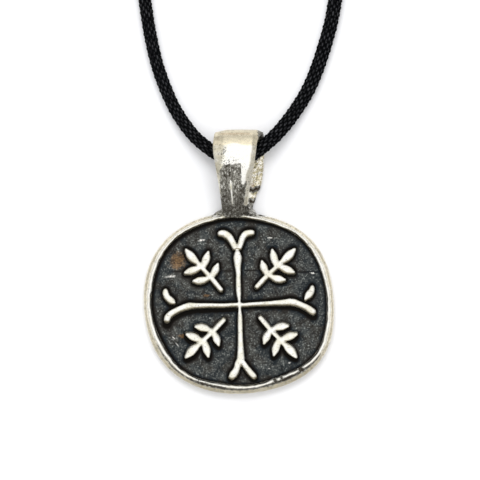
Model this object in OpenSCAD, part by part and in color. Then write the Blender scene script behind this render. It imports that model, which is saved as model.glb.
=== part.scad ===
// A cast round pendant with a raised rim, a raised fork-ended cross and four leaf
// sprigs. Its bent strap bail is soldered to the top edge, and a braided neck cord
// runs through the bail as a closed loop with a barrel clasp at the far end.
// It lies on its back: z = 0 is the surface, +Z comes out of the face, and +Y
// points from the middle of the disc to the bail.

/* [Disc] */
// Mean radius of the disc
disc_r = 15.1; // [13:0.1:17]
// How uneven the hand-made outline is: 0 is a true circle, 1 the real casting
disc_uneven = 1; // [0:0.1:1.3]
// Thickness at the sunken field
field_z = 1.6; // [1.2:0.1:2]
// Height of the rim over the field
rim_h = 0.75; // [0.4:0.05:1]
// How far the field and the rim's top sit off centre, towards the bail
face_shift = 0.3; // [0:0.05:0.5]

/* [Relief] */
// Height of the raised cross and sprigs over the field
relief_h = 0.8; // [0.4:0.05:1]
// How much narrower the top of each raised stroke is, on each side
relief_slope = 0.16; // [0.05:0.01:0.2]
// Reach of a leaf sprig to each side of its middle
sprig_reach = 3.1; // [2.4:0.1:3.4]
// Width of a sprig's leaf
leaf_w = 1.4; // [0.9:0.05:1.5]

/* [Bail] */
// Thickness of the bail's strap
strap_t = 1; // [0.8:0.05:1.1]
// Width of the strap at the top of the loop
strap_w = 6.9; // [5:0.1:8]
// Height of the loop over the surface, outside
loop_h = 6.1; // [5.5:0.1:7]

/* [Cord] */
// Diameter of the braided cord
cord_d = 2; // [1.5:0.1:2]

/* [Clasp] */
// Length of the barrel clasp
clasp_l = 12; // [10:0.5:12]
// Diameter of the barrel clasp
clasp_d = 4.4; // [3.6:0.1:4.4]

/* [Hidden] */
$fn = 32;

// Everything on the disc is drawn for a mean radius of 15.1 and grows with it.
drawn_r = 15.1;
k = disc_r / drawn_r;

// The waves of the outline: two give the oval, four the squarish corners.
// Columns: how many go round, size, where the first one stands out, in degrees.
COUNT = 0;
SIZE = 1;
AT = 2;
outline_waves = [
    [1, 0.14, 76],
    [2, 0.44, -17],
    [3, 0.06, -86],
    [4, 0.30, -164],
    [5, 0.07, -175],
    [6, 0.07, -166],
];

// Columns: how far in from the outline, height, share of the face's shift.
INSET = 0;
LEVEL = 1;
SHIFT = 2;
disc_columns = 72;
disc_rows = [
    [0.50, 0, 0],
    [0.12, 0.35, 0],
    [0, 0.9, 0],
    [0.15, field_z - 0.15, 0.1],
    [0.52, field_z + 0.1 * rim_h, 0.4],
    [0.66, field_z + 0.75 * rim_h, 0.5],
    [0.88, field_z + rim_h, 0.7],
    [1.10, field_z + 0.9 * rim_h, 0.9],
    [1.30, field_z, 1],
];

// Columns: start x and y, end x and y, width at the start, width at the end.
cross_strokes = [
    [0.05, 0.2, -0.1, 2.6, 0.6, 0.95],
    [-0.1, 2.6, -0.15, 5.6, 0.95, 1],
    [-0.15, 5.6, -0.25, 7.7, 1, 1.5],
    [-0.75, 9.3, -1.1, 10.2, 1, 1.15],
    [-1.1, 10.2, -1.95, 11.2, 1.15, 1.3],
    [-1.95, 11.2, -2.9, 11.4, 1.3, 1.1],
    [0.15, 9.3, 0.4, 10.3, 0.8, 1.05],
    [0.4, 10.3, 1, 11.3, 1.05, 1.15],
    [1, 11.3, 2, 11.5, 1.15, 1],
    [0.05, 0.1, 0.15, -2.2, 0.6, 0.9],
    [0.15, -2.2, 0.2, -5.7, 0.9, 1],
    [0.2, -5.7, 0.3, -8.6, 1, 1.4],
    [0.1, -8.7, -0.35, -9.9, 1.1, 1.1],
    [-0.35, -9.9, -1.1, -11.1, 1.1, 1.3],
    [0.4, -8.7, 2.3, -11.1, 1, 1.05],
    [0.1, 0.1, -5.6, 0, 0.7, 0.8],
    [-5.6, 0, -7.9, -0.1, 0.8, 1.2],
    [-7.9, -0.1, -10, -0.9, 1.2, 1.05],
    [-10, -0.9, -11.4, -2, 1.05, 1.15],
    [-11.6, 2.1, -11.3, 1.3, 1.05, 1.1],
    [-11.3, 1.3, -10.4, 0.5, 1.1, 0.8],
    [0.1, 0.1, 5.3, 0.4, 0.7, 0.85],
    [5.3, 0.4, 8.3, 0.5, 0.85, 1.25],
    [8.3, 0.5, 10.2, -0.1, 1.25, 1.05],
    [10.2, -0.1, 11.7, -1, 1.05, 1.15],
    [11.6, 2.7, 11.1, 1.8, 0.9, 1.25],
    [11.1, 1.8, 10.6, 1.1, 1.25, 0.7],
];

// Columns: middle x and y, mirror in x, mirror in y, turn in degrees.
sprig_places = [
    [-5.5, 5.6, -1, 1, 4],
    [5.7, 5.9, 1, 1, 0],
    [-5.3, -5.5, -1, -1, 0],
    [6.1, -5.3, 1, -1, 3],
];
// Columns: share of the reach in x and y where a leaf starts, its direction in
// degrees, its length as a share of the reach.
sprig_leaves = [
    [0.36, 0.34, 42, 0.92],
    [-0.42, -0.34, 112, 0.74],
    [0.06, 0.12, 102, 0.86],
    [-0.24, -0.42, -12, 0.8],
    [0.2, 0.1, -22, 0.9],
];
stem_w = 0.75;
stem_points = [[-0.95, -0.98], [-0.55, -0.5], [-0.1, -0.08], [0.4, 0.38]];
// A leaf is widest past its middle, and this wide where it leaves the stem.
leaf_belly = 1.3;
leaf_root = 0.24;
arc_steps = 6;
leaf_steps = 6;

// The strap runs from its front foot in the rim over the top to its back foot.
// Columns: y and z along its middle, sideways shift, share of its full width.
drawn_top_y = 27.2;
top_y = drawn_top_y * k;
front_foot = [14.1 * k, field_z + 0.15];
back_foot = [13.5 * k, 0.55 * strap_t];
front_z = loop_h - 0.5 * strap_t;
back_z = 0.5 * strap_t;
mid_z = (front_z + back_z) / 2;
strap_path = [
    [front_foot[0], front_foot[1], -0.75, 0.57],
    [15.3 * k, 0.5 * front_z, -0.7, 0.58],
    [18 * k, 0.75 * front_z, -0.7, 0.68],
    [21 * k, 0.92 * front_z, -0.7, 0.83],
    [24 * k, front_z, -0.7, 0.97],
    [top_y - 1.4, front_z - 0.3, -0.6, 1],
    [top_y - 0.35, mid_z + 1.2, -0.3, 1],
    [top_y, mid_z - 0.1, 0, 1],
    [top_y - 0.3, mid_z - 1.4, 0.35, 1],
    [top_y - 1.2, back_z + 0.25, 0.55, 1],
    [top_y - 3, back_z, 0.6, 1],
    [20.5 * k, back_z, 0.6, 0.93],
    [17 * k, back_z, 0.35, 0.7],
    [back_foot[0], back_foot[1], 0.1, 0.62],
];
// The strap's section, with a slanted border along each side of its outer face.
// Columns: share of the half width, share of the half thickness.
strap_section = [
    [-1, -0.15], [-0.6, -1], [0.74, -1], [1, -0.3], [1, 0.7], [0.93, 1], [-0.93, 1], [-1, 0.7],
];

// The solder at the bail's feet, from just over the surface up.
// Columns: x, y, height, radius.
solder_z = 0.3;
solder_lumps = [
    [-2.9, 14.1, 1.9, 1],
    [2.4, 14.1, 1.7, 1],
    [-0.4, 14.3, 1.9, 1.6],
];

// The clasp's shoulders are slanted over their length, and its two halves meet in
// a small groove, one radius for its floor and for the ends.
clasp_y = 222;
shoulder_l = 1.5;
end_r = 0.36 * clasp_d;
groove_r = 0.46 * clasp_d;
groove_out = 0.4;
groove_in = 0.2;

// The cord's route, from the clasp's left end through the bail to its right end.
// It is drawn for the drawn top of the bail and moves with it.
cord_sides = 8;
cord_route = [
    [-6, 222, 2.2], [-7.5, 222, 2.2], [-9, 222, 2.2], [-15, 221, 1.4], [-21, 216, 1],
    [-26, 206, 1], [-29, 190, 1], [-30, 170, 1], [-29, 150, 1], [-27, 128, 1],
    [-20, 80, 1], [-17, 62, 1], [-15, 48.4, 1], [-14, 42.3, 1],
    [-12.7, 37.1, 1], [-10.4, 31.5, 1.1], [-7.6, 27.3, 1.6], [-5, 24.9, 2.1],
    [-2.7, 23.5, 2.2], [-0.4, 23.1, 2.2], [1.6, 23.6, 2.2], [3.6, 24.9, 2.3],
    [6.5, 27.6, 1.8], [9.5, 31.6, 1.1], [11.75, 35.75, 1], [13.95, 42.2, 1],
    [15.3, 48.4, 1], [17, 62, 1], [20, 80, 1], [27, 128, 1],
    [29, 150, 1], [30, 170, 1], [29, 190, 1], [26, 206, 1], [21, 216, 1],
    [15, 221, 1.4], [9, 222, 2.2], [7.5, 222, 2.2], [6, 222, 2.2],
];

// Radius of the disc's outline at an angle, before any inset
function edge_r(a) = disc_r + k * disc_uneven
    * [for (w = outline_waves) w[SIZE] * cos(w[COUNT] * a - w[AT])] * [for (w = outline_waves) 1];

// One ring of the disc, of a row of the table above
function disc_ring(row) = [
    for (i = [0:disc_columns - 1])
        let (a = 360 * i / disc_columns, r = edge_r(a) - row[INSET])
            [r * cos(a), r * sin(a) + row[SHIFT] * face_shift, row[LEVEL]]
];

// Faces of a tube of equal rings, with its two ends closed by one face each
function tube_faces(rings, sides) = concat(
    [[for (i = [0:sides - 1]) i]],
    [for (j = [0:rings - 2]) for (i = [0:sides - 1])
        let (a = j * sides + i, b = j * sides + (i + 1) % sides)
            [a, a + sides, b + sides, b]],
    [[for (i = [sides - 1:-1:0]) (rings - 1) * sides + i]]
);

// Half a circle of points round an end of a stroke
function round_end(p, r, from) = [
    for (i = [0:arc_steps]) let (a = from + 180 * i / arc_steps) p + r * [cos(a), sin(a)]
];

// Outline of a stroke with round ends, w0 wide at p and w1 wide at q
function stroke_outline(p, q, w0, w1) =
    let (a = atan2(q[1] - p[1], q[0] - p[0]))
        concat(round_end(p, w0 / 2, a + 90), round_end(q, w1 / 2, a - 90));

// Half the width of a leaf, w wide, at a share of its length
function leaf_half(t, w) = (w * sin(180 * pow(t, leaf_belly)) + leaf_root * (1 - t)) / 2;

// Outline of a leaf of length l that starts at the origin
function leaf_outline(l, w) = concat(
    [for (i = [0:leaf_steps]) let (t = i / leaf_steps) [l * t, leaf_half(t, w)]],
    [for (i = [leaf_steps - 1:-1:0]) let (t = i / leaf_steps) [l * t, -leaf_half(t, w)]]
);

// A point of a smooth curve through b and c, with a and d before and after them
function curve_point(a, b, c, d, t) =
    (2 * b + (c - a) * t + (2 * a - 5 * b + 4 * c - d) * t * t + (3 * b - a - 3 * c + d) * t * t * t) / 2;

// The route with a point added half way along each step of its smooth curve
function smooth_route(p) = let (n = len(p)) [
    for (i = [0:n - 2])
        for (t = [0, 0.5])
            curve_point(p[max(i - 1, 0)], p[i], p[i + 1], p[min(i + 2, n - 1)], t),
    p[n - 1]
];

// The direction of v
function unit(v) = v / norm(v);

// A ring of points round the route's point i, square to the route there
function cord_ring(p, i) =
    let (along = unit(p[min(i + 1, len(p) - 1)] - p[max(i - 1, 0)]),
         side = unit(cross([0, 0, 1], along)),
         up = cross(along, side))
        [for (j = [0:cord_sides - 1])
            let (a = 360 * (j + 0.5) / cord_sides)
                p[i] + cord_d / 2 * (cos(a) * side + sin(a) * up)];

// A ring of points round station i of the strap
function strap_ring(i) =
    let (s = strap_path[i],
         before = strap_path[max(i - 1, 0)],
         after = strap_path[min(i + 1, len(strap_path) - 1)],
         along = unit([after[0] - before[0], after[1] - before[1]]),
         out = [along[1], -along[0]])
        [for (c = strap_section)
            [s[2] + c[0] * s[3] * strap_w / 2,
             s[0] + c[1] * strap_t / 2 * out[0],
             s[1] + c[1] * strap_t / 2 * out[1]]];

module disc_blank() {
    points = [for (row = disc_rows) each disc_ring(row)];
    polyhedron(points, tube_faces(len(disc_rows), disc_columns));
}

module cross_outline(slope) {
    for (s = cross_strokes)
        polygon(stroke_outline([s[0], s[1]], [s[2], s[3]], s[4] - 2 * slope, s[5] - 2 * slope));
}

module sprig_outline(slope) {
    for (i = [0:len(stem_points) - 2])
        polygon(stroke_outline(
            sprig_reach * stem_points[i], sprig_reach * stem_points[i + 1],
            stem_w + 0.1 - 1.2 * slope, stem_w - 1.2 * slope));
    for (l = sprig_leaves)
        translate(sprig_reach * [l[0], l[1]])
            rotate(l[2])
                polygon(leaf_outline(l[3] * sprig_reach - slope, leaf_w - 2 * slope));
}

module relief_outline(slope) {
    scale([k, k]) {
        cross_outline(slope);
        for (s = sprig_places)
            translate([s[0], s[1]])
                scale([s[2], s[3]])
                    rotate(s[4])
                        sprig_outline(slope);
    }
}

// The raised work in two steps, the upper one a little narrower
module relief() {
    sunk = 0.4;
    step_h = 0.6 * relief_h;
    translate([0, 0, field_z - sunk])
        linear_extrude(sunk + step_h)
            relief_outline(0);
    translate([0, 0, field_z])
        linear_extrude(relief_h)
            relief_outline(relief_slope);
}

module bail_strap() {
    points = [for (i = [0:len(strap_path) - 1]) each strap_ring(i)];
    polyhedron(points, tube_faces(len(strap_path), len(strap_section)));
}

module solder() {
    for (s = solder_lumps)
        translate([s[0] * k, s[1] * k, solder_z])
            cylinder(h = s[2] - solder_z, r1 = s[3] * k, r2 = 0.6 * s[3] * k);
}

module pendant() {
    color([0.72, 0.68, 0.6]) {
        disc_blank();
        relief();
        bail_strap();
        solder();
    }
}

module cord() {
    route = smooth_route(cord_route);
    points = [for (i = [0:len(route) - 1]) each cord_ring(route, i)];
    color([0.05, 0.05, 0.06])
        translate([0, top_y - drawn_top_y, 0])
            polyhedron(points, tube_faces(len(route), cord_sides));
}

// The barrel's outline to one side of its middle, from its end to its groove
function clasp_side(way) = [
    [0, way * clasp_l / 2], [end_r, way * clasp_l / 2], [clasp_d / 2, way * (clasp_l / 2 - shoulder_l)],
    [clasp_d / 2, way * groove_out], [groove_r, way * groove_in],
];

module clasp() {
    far = clasp_side(1);
    color([0.75, 0.75, 0.76])
        translate([0, clasp_y + top_y - drawn_top_y, clasp_d / 2])
            rotate([0, 90, 0])
                rotate_extrude()
                    polygon(concat(clasp_side(-1), [for (i = [len(far) - 1:-1:0]) far[i]]));
}

pendant();
cord();
clasp();
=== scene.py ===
"""Dresses the cross pendant, its braided neck cord and its barrel clasp.

Every piece is drawn in millimetres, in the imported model's frame, and is brought
to metres when it is finished. The pendant lies on its back on the surface z = 0.
"""
import logging
import math
from dataclasses import dataclass, field
from enum import Enum
from typing import Sequence

import bmesh
import bpy
import numpy as np
from bpy.types import Material, Mesh, Node, NodeSocket, NodeTree, Object
from mathutils import Matrix, Vector, noise


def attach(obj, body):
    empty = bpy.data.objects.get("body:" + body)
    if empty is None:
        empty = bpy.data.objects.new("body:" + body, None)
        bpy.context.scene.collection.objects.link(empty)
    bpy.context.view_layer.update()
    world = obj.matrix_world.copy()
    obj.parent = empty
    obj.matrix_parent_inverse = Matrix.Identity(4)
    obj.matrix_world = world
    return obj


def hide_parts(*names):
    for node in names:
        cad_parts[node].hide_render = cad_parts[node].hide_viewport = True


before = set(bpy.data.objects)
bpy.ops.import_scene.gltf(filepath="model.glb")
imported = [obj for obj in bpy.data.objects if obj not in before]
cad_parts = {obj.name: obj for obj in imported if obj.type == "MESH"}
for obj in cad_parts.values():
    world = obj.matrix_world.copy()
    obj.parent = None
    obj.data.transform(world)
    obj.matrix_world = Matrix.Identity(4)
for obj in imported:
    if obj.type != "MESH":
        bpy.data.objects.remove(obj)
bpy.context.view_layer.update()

LOG = logging.getLogger("cross_pendant")
# Metres in a millimetre.
MM = 0.001
TURN = 2 * math.pi
# The y of the border between the disc and the bail with its solder.
DISC_TOP = 13.9

Array = np.ndarray
Colour = tuple[float, float, float]


class Tip(Enum):
    """How a raised stroke ends."""

    ROUND = "round"
    CUT = "cut"


class Body(Enum):
    """The body that the pieces ride on."""

    ROOT = "root"


# ---- modelling steps -------------------------------------------------------


class Bench:
    """The small modelling steps that every piece uses."""

    @staticmethod
    def clear() -> None:
        """Leave edit mode with nothing selected."""
        if bpy.context.object and bpy.context.object.mode != "OBJECT":
            bpy.ops.object.mode_set(mode="OBJECT")
        bpy.ops.object.select_all(action="DESELECT")

    @staticmethod
    def take(*pieces: Object) -> None:
        """Select these pieces only, the first one active."""
        Bench.clear()
        for piece in pieces:
            piece.select_set(True)
        bpy.context.view_layer.objects.active = pieces[0]

    @staticmethod
    def face_outwards() -> None:
        """Turn every face of the active mesh outwards and leave edit mode."""
        bpy.ops.object.mode_set(mode="EDIT")
        bpy.ops.mesh.select_all(action="SELECT")
        bpy.ops.mesh.normals_make_consistent(inside=False)
        bpy.ops.object.mode_set(mode="OBJECT")

    @staticmethod
    def extrude_rings(name: str, rings: Sequence[Array]) -> Object:
        """Extrude a closed section from ring to ring, with both ends filled.

        Args:
            name: Name of the new object.
            rings: The section's points at each station, all of one length.

        Returns:
            The closed solid.
        """
        Bench.clear()
        bpy.ops.mesh.primitive_circle_add(vertices=len(rings[0]), radius=1, fill_type="NGON")
        piece = bpy.context.object
        piece.name = name
        bpy.ops.object.mode_set(mode="EDIT")
        for i, ring in enumerate(rings):
            if i:
                bpy.ops.mesh.extrude_region_move()
            shape = bmesh.from_edit_mesh(piece.data)
            face = next(f for f in shape.faces if f.select)
            for vert, point in zip(face.verts, ring):
                vert.co = point
        bmesh.update_edit_mesh(piece.data)
        Bench.face_outwards()
        return piece

    @staticmethod
    def copy_of(piece: Object, name: str, place: Matrix) -> Object:
        """Copy a piece with its own mesh, placed by a matrix.

        Args:
            piece: The piece to copy.
            name: Name of the copy.
            place: Where the copy goes; a mirrored one is turned the right way out.

        Returns:
            The copy.
        """
        mesh = piece.data.copy()
        mesh.transform(place)
        if place.determinant() < 0:
            mesh.flip_normals()
        twin = bpy.data.objects.new(name, mesh)
        bpy.context.collection.objects.link(twin)
        return twin

    @staticmethod
    def join(name: str, pieces: Sequence[Object]) -> Object:
        """Join the pieces into the first one."""
        Bench.take(*pieces)
        bpy.ops.object.join()
        pieces[0].name = name
        return pieces[0]

    @staticmethod
    def apply(piece: Object, kind: str, **values: object) -> None:
        """Add a modifier with these values and apply it."""
        Bench.take(piece)
        modifier = piece.modifiers.new(kind.lower(), kind)
        for key, value in values.items():
            setattr(modifier, key, value)
        bpy.ops.object.modifier_apply(modifier=modifier.name)

    @staticmethod
    def finish(piece: Object, material: Material, angle: float = 180) -> None:
        """Bring a piece to metres, smooth it and give it its material.

        Args:
            piece: The piece, drawn in millimetres.
            material: Its finish.
            angle: Edges sharper than this many degrees stay sharp.
        """
        piece.data.transform(Matrix.Scale(MM, 4))
        piece.data.materials.clear()
        piece.data.materials.append(material)
        Bench.take(piece)
        if angle < 180:
            bpy.ops.object.shade_smooth_by_angle(angle=math.radians(angle))
        else:
            bpy.ops.object.shade_smooth()
        Bench.clear()


def read_points(mesh: Mesh) -> tuple[Array, Array]:
    """Read a mesh's points and their outward directions, all at once."""
    spots, outward = np.empty(len(mesh.vertices) * 3), np.empty(len(mesh.vertices) * 3)
    mesh.vertices.foreach_get("co", spots)
    mesh.vertices.foreach_get("normal", outward)
    return spots.reshape(-1, 3), outward.reshape(-1, 3)


def write_points(mesh: Mesh, spots: Array) -> None:
    """Move a mesh's points."""
    mesh.vertices.foreach_set("co", spots.ravel())
    mesh.update()


def unit(rows: Array) -> Array:
    """Directions brought to length 1, a row each."""
    return rows / np.linalg.norm(rows, axis=1)[:, None]


def distance_along(way: Array) -> Array:
    """How far along its way each point is."""
    return np.r_[0, np.cumsum(np.linalg.norm(np.diff(way, axis=0), axis=1))]


def smooth_way(points: Sequence[Sequence[float]], step: float, along: int = 2) -> Array:
    """Sample a smooth curve through the points at even steps.

    Args:
        points: The points, one row each; all columns are carried along.
        step: Distance between samples.
        along: How many of the first columns are measured for the distance.

    Returns:
        The samples, with the first and the last point kept.
    """
    between = 16
    key = np.array(points, float)
    last = len(key) - 1
    fine = []
    for i in range(last):
        a, b, c, d = key[max(i - 1, 0)], key[i], key[i + 1], key[min(i + 2, last)]
        for t in np.arange(between) / between:
            fine.append((2 * b + (c - a) * t + (2 * a - 5 * b + 4 * c - d) * t**2
                         + (3 * b - a - 3 * c + d) * t**3) / 2)
    fine = np.array(fine + [key[last]])
    gone = distance_along(fine[:, :along])
    count = max(int(round(gone[-1] / step)), 2)
    at = np.linspace(0, gone[-1], count + 1)
    return np.stack([np.interp(at, gone, column) for column in fine.T], axis=1)


def circle(count: int) -> Array:
    """Even angles round a circle, in radians."""
    return np.arange(count) * TURN / count


def in_degrees(angle: Array) -> Array:
    """Angles in degrees, from -180 to 180."""
    return np.degrees(np.angle(np.exp(1j * angle)))


def turned(x: Array, y: Array, degrees: float) -> tuple[Array, Array]:
    """Places turned round the origin."""
    c, s = math.cos(math.radians(degrees)), math.sin(math.radians(degrees))
    return c * x - s * y, s * x + c * y


def ripple(angle: Array, seed: int, waves: Sequence[int] = (5, 9, 14, 23, 37)) -> Array:
    """An uneven closed wave of about -1 to 1 round a ring.

    Args:
        angle: The angles, in radians.
        seed: Which wave.
        waves: How many waves go round, for each part of it.

    Returns:
        The wave at each angle.
    """
    dice = np.random.default_rng(seed)
    total = sum(np.sin(n * angle + dice.uniform(0, 6.28)) * dice.uniform(0.6, 1.0) for n in waves)
    return total / math.sqrt(len(waves)) * 0.8


def waved(mean: float, waves: Sequence[tuple[int, float, float]], angle: Array) -> Array:
    """A mean radius with its waves.

    Args:
        mean: The mean radius.
        waves: How many go round, size, and where the first one stands out, in degrees.
        angle: The angles, in radians.

    Returns:
        The radius at each angle.
    """
    return mean + sum(size * np.cos(count * angle - math.radians(at)) for count, size, at in waves)


def ease(value: Array, low: float, high: float) -> Array:
    """A soft step from 0 at low to 1 at high."""
    t = np.clip((value - low) / (high - low), 0, 1)
    return t * t * (3 - 2 * t)


def fall(value: Array, low: float, high: float) -> Array:
    """A soft step from 1 at low to 0 at high."""
    return 1 - ease(value, low, high)


def band(value: Array, low: float, full: float, past: float, end: float) -> Array:
    """1 from full to past, and softly down to 0 at low and at end."""
    return ease(value, low, full) * fall(value, past, end)


def ridge(offset: Array, reach: float | Array) -> Array:
    """A soft ridge, 1 where the offset is 0."""
    return np.exp(-(offset / reach) ** 2)


def blob(x: Array, y: Array, mid_x: float, mid_y: float, half_x: float, half_y: float,
         power: int = 2) -> Array:
    """A soft spot, 1 in its middle, with these half lengths; a higher power is squarer."""
    return np.exp(-((x - mid_x) / half_x) ** power - ((y - mid_y) / half_y) ** power)


# ---- shader steps ----------------------------------------------------------


class Desk:
    """Adds and links the nodes of one material, group or world."""

    def __init__(self, tree: NodeTree) -> None:
        """Start on an empty tree."""
        self.tree = tree
        tree.nodes.clear()

    def add(self, kind: str, **values: object) -> Node:
        """Add a node of a kind, with its properties set."""
        node = self.tree.nodes.new(kind if kind.startswith("Node") else f"ShaderNode{kind}")
        for key, value in values.items():
            setattr(node, key, value)
        return node

    def put(self, socket: NodeSocket, value: object) -> None:
        """Link a socket to the value, or set the value on it."""
        if isinstance(value, NodeSocket):
            self.tree.links.new(value, socket)
        elif isinstance(value, tuple) and socket.type == "RGBA":
            socket.default_value = (*value, 1)
        else:
            socket.default_value = value

    def wire(self, node: Node, values: dict[int | str, object]) -> Node:
        """Link or set a node's inputs by name or number."""
        for key, value in values.items():
            self.put(node.inputs[key], value)
        return node

    def math(self, operation: str, *values: object, clamp: bool = False) -> NodeSocket:
        """A Math node over the values."""
        node = self.add("Math", operation=operation, use_clamp=clamp)
        return self.wire(node, dict(enumerate(values))).outputs[0]

    def times(self, first: object, *others: object) -> object:
        """The product of the values."""
        for other in others:
            first = self.math("MULTIPLY", first, other)
        return first

    def plus(self, first: object, second: object) -> NodeSocket:
        """The sum of two values."""
        return self.math("ADD", first, second)

    def minus(self, first: object, second: object, clamp: bool = False) -> NodeSocket:
        """The first value less the second."""
        return self.math("SUBTRACT", first, second, clamp=clamp)

    def scaled(self, value: object, factor: object, base: object) -> NodeSocket:
        """A value times a factor, on top of a base."""
        return self.math("MULTIPLY_ADD", value, factor, base)

    def step(self, value: object, low: float, high: float, start: float = 0,
             end: float = 1) -> NodeSocket:
        """A soft step of a value, from start at low to end at high."""
        node = self.add("MapRange", interpolation_type="SMOOTHSTEP")
        return self.wire(node, dict(enumerate((value, low, high, start, end)))).outputs[0]

    def broken(self, mask: object, grain: object, *limits: float) -> NodeSocket:
        """A mask broken up by a soft step of a noise."""
        return self.times(mask, self.step(grain, *limits))

    def blend(self, share: object, first: object, second: object) -> NodeSocket:
        """A colour mixed from two by a share."""
        node = self.add("Mix", data_type="RGBA")
        return self.wire(node, {0: share, 6: first, 7: second}).outputs[2]

    def coated(self, colour: object, *coats: tuple[object, object]) -> object:
        """A colour under coats, each one a share and its own colour."""
        for share, tint in coats:
            colour = self.blend(share, colour, tint)
        return colour

    def noise(self, place: object, scale: float, detail: float = 3,
              rough: float = 0.55) -> NodeSocket:
        """The value of a Noise texture."""
        values = {"Vector": place, "Scale": scale, "Detail": detail, "Roughness": rough}
        return self.wire(self.add("TexNoise"), values).outputs[0]

    def attribute(self, name: str) -> NodeSocket:
        """The value of a piece's own attribute."""
        return self.add("Attribute", attribute_name=name).outputs["Fac"]

    def stretched(self, place: object, scale: Colour) -> NodeSocket:
        """A place with its axes scaled."""
        return self.wire(self.add("Mapping"), {"Vector": place, "Scale": scale}).outputs[0]

    def millimetres(self) -> NodeSocket:
        """Object coordinates, counted in millimetres."""
        return self.stretched(self.add("TexCoord").outputs["Object"], (1000, 1000, 1000))

    def bump(self, height: object, distance: float, strength: float = 1) -> NodeSocket:
        """A Bump node's normal, its distance in millimetres."""
        values = {"Height": height, "Distance": distance * MM, "Strength": strength}
        return self.wire(self.add("Bump"), values).outputs[0]


class CastGrain:
    """Cast metal's grain, a node group that two finishes share: dents, pits and a fine tooth."""

    _tree: NodeTree | None = None

    @classmethod
    def tree(cls) -> NodeTree:
        """The group, which is built when it is first asked for."""
        if cls._tree is None:
            cls._tree = bpy.data.node_groups.new("cast_grain", "ShaderNodeTree")
            sockets = cls._tree.interface
            sockets.new_socket("Place", in_out="INPUT", socket_type="NodeSocketVector")
            for way, names in (("INPUT", ("Dents", "Pits", "Tooth")),
                               ("OUTPUT", ("Height", "Pit", "Tooth"))):
                for name in names:
                    sockets.new_socket(name, in_out=way, socket_type="NodeSocketFloat")
            cls._fill(Desk(cls._tree))
        return cls._tree

    @staticmethod
    def _fill(desk: Desk) -> None:
        """Add the group's nodes."""
        given = desk.add("NodeGroupInput").outputs
        dents = desk.noise(given["Place"], given["Dents"], 3, 0.5)
        pits = desk.step(desk.noise(given["Place"], given["Pits"], 2, 0.6), 0.3, 0.42, 1, 0)
        tooth = desk.noise(given["Place"], given["Tooth"], 4, 0.65)
        height = desk.minus(desk.plus(dents, desk.times(tooth, 0.25)), desk.times(pits, 0.35))
        desk.wire(desk.add("NodeGroupOutput"), {"Height": height, "Pit": pits, "Tooth": tooth})

    @classmethod
    def place(cls, desk: Desk, **values: object) -> Node:
        """Put the group into a material, with its place and how fine each grain is."""
        return desk.wire(desk.add("Group", node_tree=cls.tree()), values)


def new_material(name: str) -> tuple[Material, Desk, Node]:
    """Make a material with a Principled shader on its output."""
    material = bpy.data.materials.new(name)
    material.use_nodes = True
    desk = Desk(material.node_tree)
    shader = desk.add("BsdfPrincipled")
    desk.put(desk.add("OutputMaterial").inputs[0], shader.outputs[0])
    return material, desk, shader


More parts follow.
